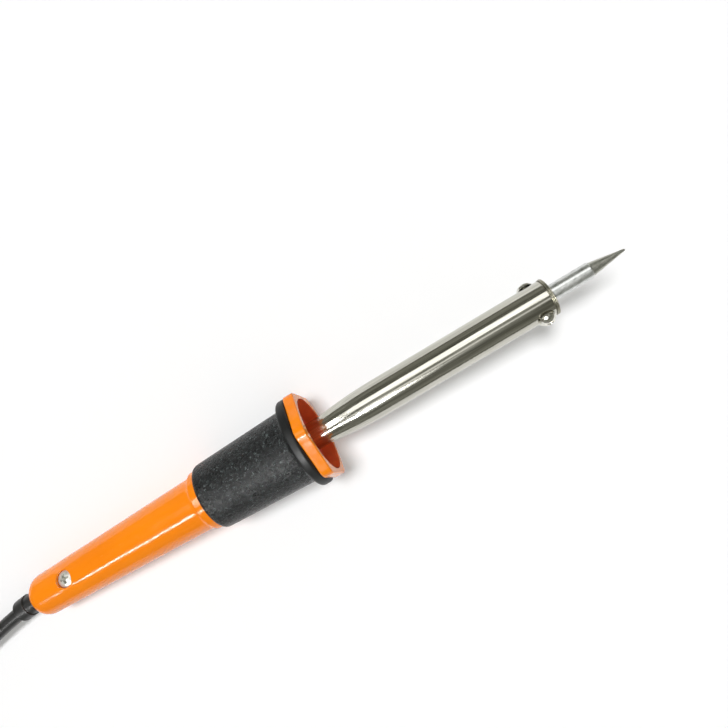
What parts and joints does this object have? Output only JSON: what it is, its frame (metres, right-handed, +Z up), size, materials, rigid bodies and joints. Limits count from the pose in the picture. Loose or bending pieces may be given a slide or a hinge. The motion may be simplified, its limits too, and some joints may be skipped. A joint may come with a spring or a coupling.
{
  "type": "soldering iron",
  "caption": "Mains soldering iron with an orange flanged handle, black rubber grip, steel barrel, clamped pointed bit, and a tied lead with a flat plug.",
  "frame": {"origin": "on the table under the middle of the iron, measured from the end of the strain relief to the tip of the bit", "axes": "+X along the iron towards the tip, +Z up, +Y to the left of the iron seen from its tail"},
  "size_m": [0.5097, 0.0385, 0.0324],
  "materials": {
    "orange_handle": "glossy",
    "grip_rubber": "grained matte",
    "black_vinyl": "satin",
    "cord_tie_plastic": "matte",
    "plug_plastic": "satin",
    "nickel_plate": "bright",
    "barrel_steel": "bright",
    "nose_steel": "turned",
    "bit_plating": "dull plated",
    "terminal_plastic": "matte",
    "terminal_brass": "satin",
    "brown_insulation": "satin",
    "blue_insulation": "satin",
    "heater_wire": "oxidised",
    "ceramic": "unglazed",
    "mica": "layered"
  },
  "bodies": {
    "iron": {"handle": "orange_handle", "grip_sleeve": "grip_rubber", "strain_relief": "black_vinyl", "cord_entry": "black_vinyl", "cord_clamp": "nickel_plate", "tail_screw": "nickel_plate", "terminal_block": "terminal_plastic", "terminal_tubes": "terminal_brass", "terminal_screws": "terminal_brass", "core_live": "brown_insulation", "core_neutral": "blue_insulation", "heater_lead_1": "heater_wire", "heater_lead_2": "heater_wire", "lead_sleeve_1": "ceramic", "lead_sleeve_2": "ceramic", "rear_spacer": "ceramic", "heater_core": "ceramic", "heater_winding": "heater_wire", "mica_wrap": "mica", "barrel": "barrel_steel", "barrel_flange": "nose_steel", "flange_screws": "nickel_plate", "nose_collar": "nose_steel", "cord_lead": "black_vinyl", "cord_hank": "black_vinyl", "cord_tie": "cord_tie_plastic", "cord_tail": "black_vinyl", "plug_relief": "black_vinyl", "plug_body": "plug_plastic", "plug_pins": "nickel_plate", "pin_sleeves": "plug_plastic"},
    "soldering_bit": {"bit": "bit_plating"},
    "washer_near": {"clamp_washer_near": "nickel_plate"},
    "screw_near": {"clamp_screw_near": "nickel_plate"},
    "washer_far": {"clamp_washer_far": "nickel_plate"},
    "screw_far": {"clamp_screw_far": "nickel_plate"}
  },
  "joints": [
    {"name": "bit_slide", "type": "slide", "parent": "iron", "child": "soldering_bit", "axis": [0.9967, 0, 0.0813], "range_m": [-0.002, 0.052]},
    {"name": "clamp_screw_near_lift", "type": "slide", "parent": "iron", "child": "washer_near", "axis": [-0.0426, -0.8517, 0.5223], "range_m": [0, 0.0025]},
    {"name": "clamp_screw_near_turn", "type": "hinge", "parent": "washer_near", "child": "screw_near", "pos_m": [0.08625, -0.00537, 0.02634], "axis": [-0.0426, -0.8517, 0.5223], "range_deg": [0, 1800.1]},
    {"name": "clamp_screw_far_lift", "type": "slide", "parent": "iron", "child": "washer_far", "axis": [0.0426, 0.8517, -0.5223], "range_m": [0, 0.0025]},
    {"name": "clamp_screw_far_turn", "type": "hinge", "parent": "washer_far", "child": "screw_far", "pos_m": [0.08679, 0.00537, 0.01976], "axis": [0.0426, 0.8517, -0.5223], "range_deg": [0, 1800.1]}
  ],
  "couplings": [
    {"joint": "clamp_screw_near_turn", "follows": "clamp_screw_near_lift", "rad_per_m": 12566},
    {"joint": "clamp_screw_far_turn", "follows": "clamp_screw_far_lift", "rad_per_m": 12566}
  ]
}
